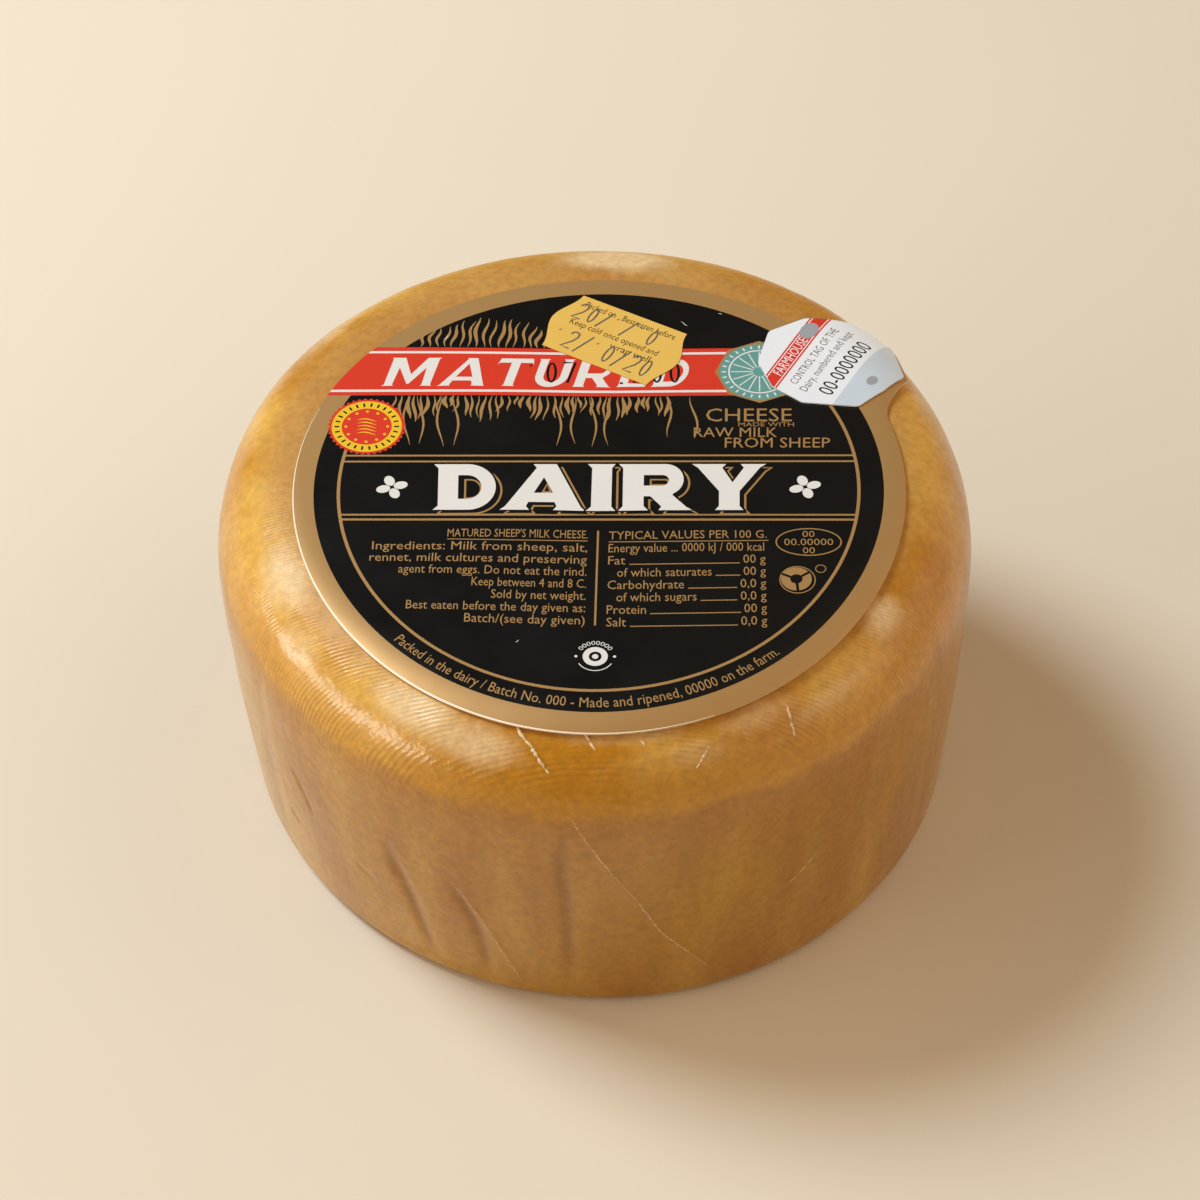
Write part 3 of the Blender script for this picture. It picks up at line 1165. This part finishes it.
def printed_paper(name, outlines, art, inks, ground, core, lift, thickness, grid, bend_from):
    """A closed sheet of paper laid over the wheel's top, whose faces take the ink printed on them.

    ground is the ink of its bare face, and core that of its underside and edges. lift(x, y) is how far
    its underside stands off the wheel, in mm.
    """
    items = [(ink, [divided(loop, grid, bend_from) for loop in loops])
             for ink, loops in [(ground, outlines)] + art]
    flat, kept, shades = cut_and_inked(items, grid, bend_from)
    used = sorted({corner for triangle in kept for corner in triangle})
    number = {old: new for new, old in enumerate(used)}
    upper = []
    lower = []
    facings = []
    for old in used:
        x, y = flat[old]
        under = lift(x, y)
        upper.append(over_top(x, y, under + thickness))
        lower.append(over_top(x, y, under))
        nearby = [over_top(x + dx, y + dy, lift(x + dx, y + dy) + thickness)
                  for dx, dy in ((0.3, 0), (-0.3, 0), (0, 0.3), (0, -0.3))]
        facings.append((nearby[0] - nearby[1]).cross(nearby[2] - nearby[3]).normalized())

    sides = {side: True for triangle in kept for side in zip(triangle, triangle[1:] + triangle[:1])}
    names = sorted({core, *shades})
    faces = []
    materials = []
    normals = []
    for triangle, ink in zip(kept, shades):
        corners = [number[corner] for corner in triangle]
        faces.append(corners)
        materials.append(names.index(ink))
        normals.extend(facings[corner] for corner in corners)
    for triangle in kept:
        corners = [number[corner] for corner in triangle[::-1]]
        faces.append([len(used) + corner for corner in corners])
        materials.append(names.index(core))
        normals.extend(-facings[corner] for corner in corners)
    for start, end in sides:
        if (end, start) in sides:
            continue
        a = number[start]
        b = number[end]
        faces.append([a, len(used) + a, len(used) + b, b])
        materials.append(names.index(core))
        outward = (lower[a] - upper[a]).cross(upper[b] - upper[a]).normalized()
        normals.extend([outward] * 4)

    mesh = bpy.data.meshes.new(name)
    mesh.from_pydata(upper + lower, [], faces)
    for ink in names:
        mesh.materials.append(inks[ink])
    mesh.polygons.foreach_set("material_index", materials)
    mesh.shade_smooth()
    mesh.normals_split_custom_set(normals)
    mesh.update()
    return new_object(name, mesh)


# The label's edge runs from its lobe into its circle in a hollow sweep.
LOBE_WEB = [(50.0, 22.0), (50.0, 10.0), (54.3, 10.6), (53.95, 12.6), (54.1, 14.6), (54.7, 16.6),
            (55.6, 18.8), (56.7, 21.2), (57.9, 23.6), (55.0, 24.0)]


def label_lift(x, y):
    """The label lies on the flat top, and stands off a little where the shoulder falls away."""
    out = max(math.hypot(x, y) - FLAT_TOP, 0)
    return 0.05 + 0.012 * out ** 1.3


def tag_lift(x, y):
    return label_lift(x, y) + 0.34


def sticker_lift(x, y):
    return 0.36


def make_papers():
    inks = {
        "black": printed_ink("black_varnished_print", "060606", "0c0b0a", 0.25),
        "gold": printed_ink("gold_bronze_print", "c59a62", "b3894f", 0.42, 0.45),
        "white": printed_ink("white_varnished_print", "e9e6e2", "dedad4", 0.35),
        "red": printed_ink("red_varnished_print", "dc3c24", "d0341e", 0.33),
        "yellow": printed_ink("yellow_varnished_print", "f0c52c", "e6b824", 0.35),
        "teal": printed_ink("blue_green_print", "6ba29b", "5a918c", 0.35),
        "grey": printed_ink("stamped_grey_ink", "6f6250", "5b5040", 0.6),
        "silver": printed_ink("silver_foil", "c2c6ca", "aab0b6", 0.3, 0.35),
        "pale_blue": printed_ink("pale_blue_tag_print", "d2dbe2", "bdc9d4", 0.3),
        "label_paper": printed_ink("label_paper_edge", "fff2dc", "f4e2c4", 0.5),
        "sticker_paper": printed_ink("uncoated_yellow_paper", "e6bc58", "ddb04a", 0.75, 0.0, 0.3),
        "card": printed_ink("satin_white_card", "f0f2f4", "e2e6ec", 0.3),
    }
    on_label = (LABEL_X, LABEL_Y, LABEL_TURN)
    on_sticker = (STICKER_X, STICKER_Y, STICKER_TURN)
    on_tag = (TAG_X, TAG_Y, TAG_PRINT_TURN)
    label_outlines = [circle(LABEL_X, LABEL_Y, LABEL_RADIUS, 240), tag_outline(LOBE_MARGIN), LOBE_WEB]
    return [
        printed_paper(name, outlines, [(ink, moved(loops, *spot)) for ink, loops in art], inks, ground, core,
                      lift, thickness, grid, bend_from)
        for name, outlines, art, spot, ground, core, lift, thickness, grid, bend_from in (
            ("round_label_paper", label_outlines, label_artwork(), on_label, "gold", "label_paper",
             label_lift, LABEL_THICKNESS, 1.4, 50.0),
            ("date_sticker_paper", [sticker_outline()], sticker_artwork(), on_sticker, "sticker_paper",
             "sticker_paper", sticker_lift, STICKER_THICKNESS, 1.4, 50.0),
            ("numbered_tag_card", [tag_outline(0)], tag_artwork(), on_tag, "card", "card",
             tag_lift, TAG_THICKNESS, 1.2, 40.0))]


# ---------------------------------------------------------------- the room


def paper_floor():
    """Matt warm paper, with a grain too fine to see except as a slight softness."""
    material, tree = new_material("matt_warm_backdrop_paper")
    coords = add(tree, "ShaderNodeTexCoord")
    cloud = add(tree, "ShaderNodeTexNoise", {"Vector": coords.outputs["Object"], "Scale": 6.0, "Detail": 3.0})
    colour = add(tree, "ShaderNodeMix", {"Factor": cloud, "A": linear("e2d5c0"), "B": linear("e6dac6")},
                 data_type="RGBA")
    finish_material(tree, {"Base Color": colour.outputs["Result"], "Roughness": 0.85,
                           "Specular IOR Level": 0.2})
    return material


def make_room():
    mesh = bpy.data.meshes.new("floor")
    mesh.from_pydata([(-4, -4, 0), (4, -4, 0), (4, 4, 0), (-4, 4, 0)], [], [(0, 1, 2, 3)])
    mesh.materials.append(paper_floor())
    new_object("floor", mesh)

    # The room is a dark studio with a low warm glow round its left, front and right.
    world = bpy.data.worlds.new("soft_room")
    world.use_nodes = True
    tree = world.node_tree
    tree.nodes.clear()
    facing = add(tree, "ShaderNodeTexCoord").outputs["Generated"]
    glow = 0.07
    for towards, strength in (((-0.85, -0.45, 0.30), 0.40), ((0.30, -0.90, 0.30), 0.10),
                              ((0.95, -0.05, 0.30), 1.30)):
        along = add(tree, "ShaderNodeVectorMath", {0: facing, 1: Vector(towards).normalized()},
                    operation="DOT_PRODUCT").outputs["Value"]
        ahead = add(tree, "ShaderNodeMath", {0: along, 1: 0.0}, operation="MAXIMUM")
        lobe = add(tree, "ShaderNodeMath", {0: ahead, 1: 2.0}, operation="POWER")
        glow = add(tree, "ShaderNodeMath", {0: lobe, 1: strength, 2: glow}, operation="MULTIPLY_ADD")
    back = add(tree, "ShaderNodeBackground", {"Color": (1.0, 0.77, 0.54, 1.0), "Strength": glow})
    add(tree, "ShaderNodeOutputWorld", {"Surface": back})
    bpy.context.scene.world = world

    # The softbox is the key. The low window puts the band of light along the left shoulder.
    middle = Vector((0, 0, 0.04))
    for name, spot, shape, width, height, power, colour in (
            ("key_softbox", Vector((-0.93, 0.51, 1.20)), "DISK", 0.68, 0.68, 22.5, (0.80, 0.91, 1.0)),
            ("low_window", Vector((-0.94, -0.27, 0.20)), "RECTANGLE", 0.95, 0.16, 4.6, (1.0, 0.93, 0.86))):
        data = bpy.data.lights.new(name, "AREA")
        data.shape = shape
        data.size = width
        if shape == "RECTANGLE":
            data.size_y = height
        data.energy = power
        data.color = colour
        light = new_object(name, data)
        light.location = spot
        light.rotation_euler = (middle - spot).to_track_quat("-Z", "Y").to_euler()


def make_camera():
    """A long lens, well above the wheel, that looks down at its front."""
    distance = 0.699
    above = math.radians(45.6)
    data = bpy.data.cameras.new("camera")
    data.lens = 112.2
    data.sensor_width = 36.0
    data.clip_start = 0.05
    data.clip_end = 20.0
    camera = new_object("camera", data)
    shift = Vector((SHIFT_X, SHIFT_Y, 0))
    aim = Vector((0.02, -2.33, 37.98)) * MM + shift
    camera.location = Vector((0, -distance * math.cos(above), 0.040 + distance * math.sin(above))) + shift
    camera.rotation_euler = (aim - camera.location).to_track_quat("-Z", "Y").to_euler()
    bpy.context.scene.camera = camera


make_camera()
make_room()
bpy.context.scene.view_settings.view_transform = "Standard"
wheel = make_wheel()
label, sticker, tag = make_papers()
for piece, node, finish in ((wheel, "cheese_wheel", "rind"), (label, "round_label", "label_print"),
                            (sticker, "date_sticker", "sticker_paper"), (tag, "numbered_tag", "tag_card")):
    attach(piece, "root")
    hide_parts(node)
